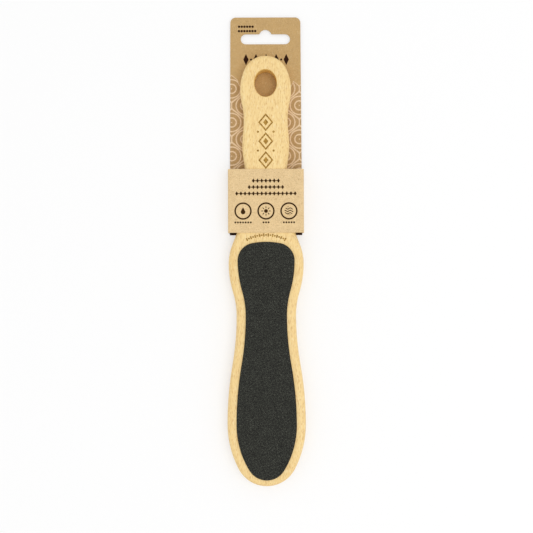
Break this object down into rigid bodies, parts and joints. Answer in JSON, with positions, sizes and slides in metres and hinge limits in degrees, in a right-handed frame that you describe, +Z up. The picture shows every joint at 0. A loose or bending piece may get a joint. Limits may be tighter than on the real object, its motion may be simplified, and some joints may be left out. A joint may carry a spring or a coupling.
{
  "type": "foot file",
  "caption": "Flat two-sided wooden foot file: lobed paddle with a bonded abrasive sheet on each face, waisted handle with a hang hole, held in a slide-off kraft hang card.",
  "frame": {"origin": "on the table under the middle of the carded file, which lies on its fine side", "axes": "+Y along the file from the paddle's tip to the hang card's top, +Z up out of the coarse face, +X across the file"},
  "size_m": [0.0492, 0.296, 0.0112],
  "materials": {
    "beech": "satin",
    "adhesive": "satin",
    "backing": "matte",
    "coarse_grit": "matte",
    "fine_grit": "matte",
    "header_board": "matte",
    "band_board": "matte",
    "glue": "satin"
  },
  "bodies": {
    "file": {"beech_body": "beech", "coarse_adhesive_film": "adhesive", "coarse_backing_sheet": "backing", "coarse_grit_coat": "coarse_grit", "fine_adhesive_film": "adhesive", "fine_backing_sheet": "backing", "fine_grit_coat": "fine_grit"},
    "card": {"header_card": "header_board", "wrap_band": "band_board", "flap_glue": "glue"}
  },
  "joints": [
    {"name": "card_slide", "type": "slide", "parent": "file", "child": "card", "axis": [0, 1, 0], "range_m": [-0.003, 0.115]}
  ]
}
